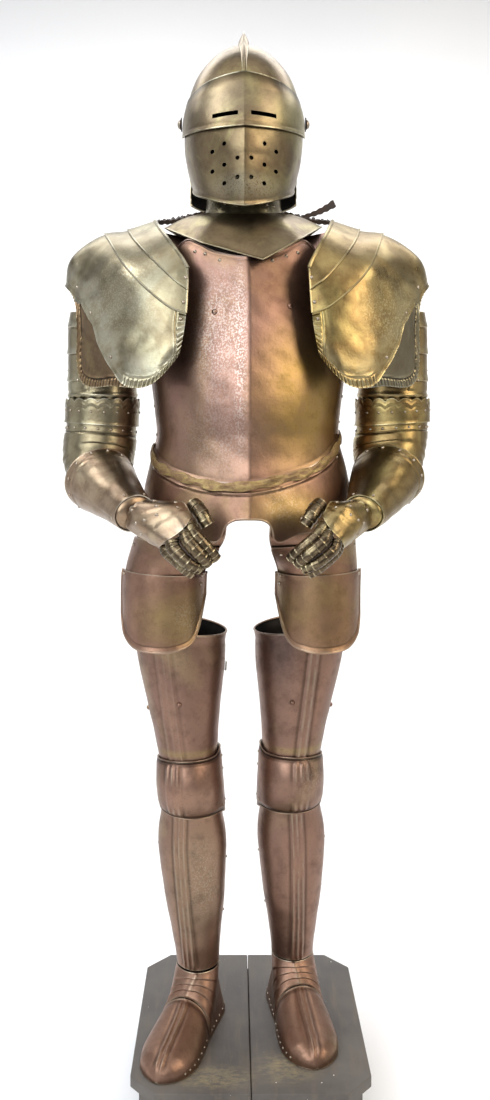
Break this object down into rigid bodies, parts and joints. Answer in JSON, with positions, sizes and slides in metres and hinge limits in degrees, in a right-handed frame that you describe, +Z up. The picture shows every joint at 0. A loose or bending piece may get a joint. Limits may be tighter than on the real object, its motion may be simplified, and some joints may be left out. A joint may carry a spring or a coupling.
{
  "type": "suit of plate armour standing on a wooden plinth",
  "caption": "full suit of plate armour with a lifting visor, arms bent and gauntlets together, standing on a low painted wooden plinth",
  "frame": {"origin": "middle of the plinth's underside, where the part rests", "axes": "+Z up; the suit faces -Y; +X is towards the viewer's right, the suit's own left"},
  "size_m": [0.6851, 0.4794, 1.9662],
  "materials": {
    "olive_bronzed_steel": "rubbed bronze-lacquered sheet steel, olive brown with bright edges",
    "brassy_bronzed_steel": "brass-toned lacquered sheet steel, worn to silver on the left pauldron",
    "russet_steel": "copper-brown patinated sheet steel, speckled and rubbed",
    "dark_bright_steel": "dark steel with polished high points",
    "belt_strip": "crumpled soft brass-toned strip",
    "strap_leather": "old dark brown leather with ragged edges",
    "plinth_paint": "boards painted dark grey, scuffed through to yellowish wood",
    "armature_wood": "plain dark stained wood"
  },
  "bodies": {
    "root": {"helmet_skull_left": "olive_bronzed_steel", "helmet_skull_right": "olive_bronzed_steel", "helmet_comb": "olive_bronzed_steel", "helmet_pivot_left": "dark_bright_steel", "helmet_pivot_right": "dark_bright_steel", "gorget_collar": "olive_bronzed_steel", "gorget_plate": "olive_bronzed_steel", "breastplate": "russet_steel", "backplate": "russet_steel", "fauld_front": "russet_steel", "fauld_back": "russet_steel", "waist_belt": "belt_strip", "tasset_left_upper": "russet_steel", "tasset_left_middle": "russet_steel", "tasset_left_lower": "russet_steel", "tasset_right_upper": "russet_steel", "tasset_right_middle": "russet_steel", "tasset_right_lower": "russet_steel", "cuisse_left": "russet_steel", "poleyn_left": "russet_steel", "greave_left": "russet_steel", "cuisse_right": "russet_steel", "poleyn_right": "russet_steel", "greave_right": "russet_steel", "sabaton_toe_left": "russet_steel", "sabaton_shoe_left": "russet_steel", "sabaton_toe_right": "russet_steel", "sabaton_shoe_right": "russet_steel", "upper_arm_left": "brassy_bronzed_steel", "arm_lame_left": "brassy_bronzed_steel", "couter_left": "brassy_bronzed_steel", "gauntlet_cuff_left": "brassy_bronzed_steel", "upper_arm_right": "brassy_bronzed_steel", "arm_lame_right": "brassy_bronzed_steel", "couter_right": "brassy_bronzed_steel", "gauntlet_cuff_right": "brassy_bronzed_steel", "gauntlet_hand_left": "brassy_bronzed_steel", "gauntlet_fingers_left": "dark_bright_steel", "gauntlet_thumb_left": "dark_bright_steel", "gauntlet_hand_right": "brassy_bronzed_steel", "gauntlet_fingers_right": "dark_bright_steel", "gauntlet_thumb_right": "dark_bright_steel", "pauldron_lame_inner_left": "brassy_bronzed_steel", "pauldron_lame_middle_left": "brassy_bronzed_steel", "pauldron_main_left": "brassy_bronzed_steel", "pauldron_lame_inner_right": "brassy_bronzed_steel", "pauldron_lame_middle_right": "brassy_bronzed_steel", "pauldron_main_right": "brassy_bronzed_steel", "strap_left": "strap_leather", "strap_right": "strap_leather", "armature": "armature_wood", "plinth_box": "plinth_paint", "deck_board_left": "plinth_paint", "deck_board_right": "plinth_paint", "breast_shoulder_left": "russet_steel", "breast_shoulder_right": "russet_steel"},
    "face": {"helmet_visor": "olive_bronzed_steel", "helmet_ventail": "olive_bronzed_steel"}
  },
  "joints": [
    {"name": "visor_lift", "type": "hinge", "parent": "root", "child": "face", "pos_m": [-0.004, 0.01, 1.8], "axis": [-1, 0, 0], "range_deg": [0, 35]}
  ]
}
